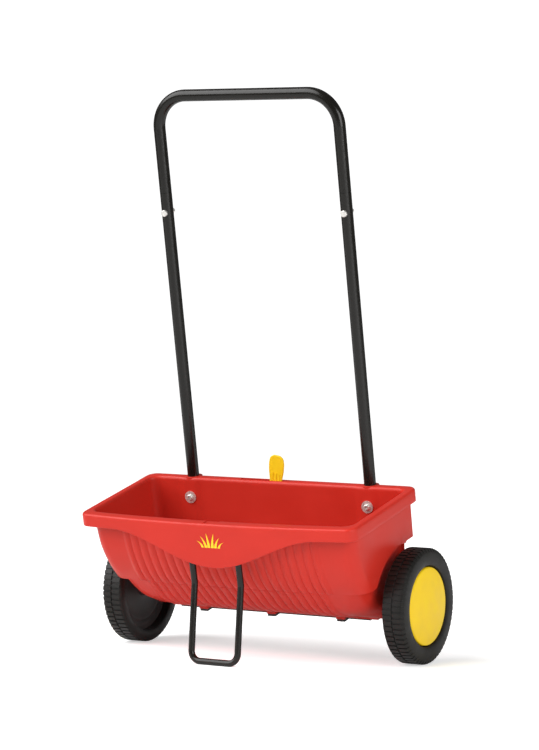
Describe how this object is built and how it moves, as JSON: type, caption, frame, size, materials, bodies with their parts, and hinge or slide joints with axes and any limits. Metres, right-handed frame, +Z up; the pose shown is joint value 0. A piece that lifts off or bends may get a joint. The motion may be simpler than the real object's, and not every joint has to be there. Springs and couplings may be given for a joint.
{
  "type": "drop spreader",
  "caption": "Push drop spreader for lawns: tapered hopper with apron, side wheels, bent tube handle, rod stand, dosing lever and sliding outlet shutter.",
  "frame": {"origin": "on the ground, under the middle of the bounding box, parked on wheels and stand", "axes": "+Z up along the height, +X along the axle to the driven wheel, -Y to the apron and stand, +Y to the person who pushes"},
  "size_m": [0.6386, 0.3524, 1.0315],
  "materials": {
    "red_moulding": "bright red moulded polypropylene, satin to gloss",
    "black_tube": "black powder-coated steel tube",
    "black_rod": "black powder-coated steel rod",
    "zinc": "bright zinc-plated steel",
    "black_plastic": "black moulded plastic",
    "bush_plastic": "natural acetal bearing plastic",
    "axle_steel": "bright drawn steel rod",
    "roller_plastic": "dark moulded plastic",
    "tyre": "black moulded tyre",
    "disc_plastic": "dark grey moulded plastic",
    "yellow_plastic": "yellow moulded plastic",
    "scale_strip": "white strip with raised ticks"
  },
  "bodies": {
    "root": {"hopper_shell": "red_moulding", "lower_tube_left": "black_tube", "lower_tube_right": "black_tube", "handle_bow": "black_tube", "joint_screws": "zinc", "joint_nuts": "zinc", "hopper_bolts": "zinc", "bolt_washers": "zinc", "hopper_nuts": "zinc", "tube_plugs": "black_plastic", "stand": "black_rod", "stand_screws": "zinc", "bearing_housing_left": "black_plastic", "bearing_housing_right": "black_plastic", "housing_screws": "zinc", "bearing_bush_left": "bush_plastic", "bearing_bush_right": "bush_plastic", "lever_screw": "zinc", "shutter_guides": "black_plastic", "guide_screws": "zinc", "dosing_scale": "scale_strip"},
    "drive": {"axle": "axle_steel", "feed_roller": "roller_plastic", "roller_pins": "zinc", "drive_pin": "zinc", "tyre_right": "tyre", "wheel_disc_right": "disc_plastic", "hub_cap_right": "yellow_plastic", "thrust_washers": "zinc", "axle_caps": "zinc"},
    "left_wheel": {"tyre_left": "tyre", "wheel_disc_left": "disc_plastic", "hub_cap_left": "yellow_plastic"},
    "lever": {"dosing_lever": "yellow_plastic"},
    "shutter": {"shutter_plate": "black_plastic"}
  },
  "joints": [
    {"name": "drive_spin", "type": "hinge", "parent": "root", "child": "drive", "pos_m": [0, 0.07124, 0.105], "axis": [1, 0, 0], "continuous": true},
    {"name": "left_wheel_spin", "type": "hinge", "parent": "root", "child": "left_wheel", "pos_m": [-0.294, 0.07124, 0.105], "axis": [1, 0, 0], "continuous": true},
    {"name": "dosing_turn", "type": "hinge", "parent": "root", "child": "lever", "pos_m": [-0.036, 0.11854, 0.14741], "axis": [0, -0.9715, -0.2368], "range_deg": [0, 19.6]},
    {"name": "shutter_slide", "type": "slide", "parent": "root", "child": "shutter", "axis": [1, 0, 0], "range_m": [0, 0.0195]}
  ],
  "couplings": [
    {"joint": "shutter_slide", "follows": "dosing_turn", "m_per_rad": 0.0565}
  ]
}
